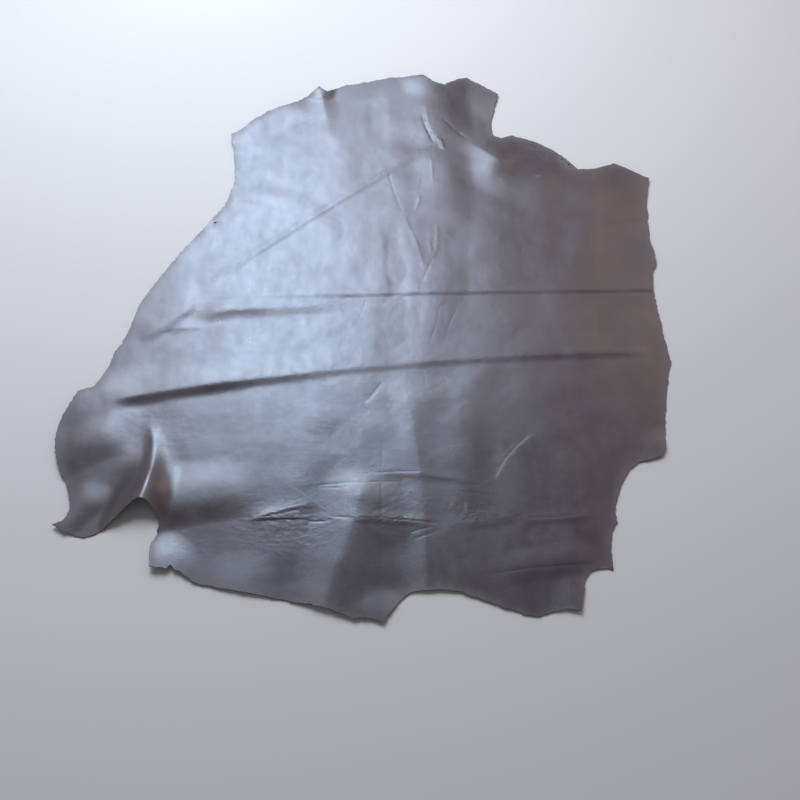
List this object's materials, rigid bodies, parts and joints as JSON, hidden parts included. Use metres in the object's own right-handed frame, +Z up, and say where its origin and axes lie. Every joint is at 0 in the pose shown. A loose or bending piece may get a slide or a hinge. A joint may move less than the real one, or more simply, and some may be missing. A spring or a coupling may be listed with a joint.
{
  "type": "leather hide",
  "caption": "Whole dressed leather hide lying flat, grain side up, with its cut outline, storage creases and an open pleat at the edge.",
  "frame": {"origin": "in the plane that the flesh side rests on, under the middle of the hide's box", "axes": "+Z up out of the grain side, +Y from the butt end to the neck end, +X across to the hide's right flank as seen from above"},
  "size_m": [0.8776, 0.9711, 0.0268],
  "materials": {
    "leather": "dark brown smooth grain leather, semi-gloss, with a fine pore grain and soft storage creases"
  },
  "bodies": {
    "root": {"hide": "leather"}
  },
  "joints": []
}
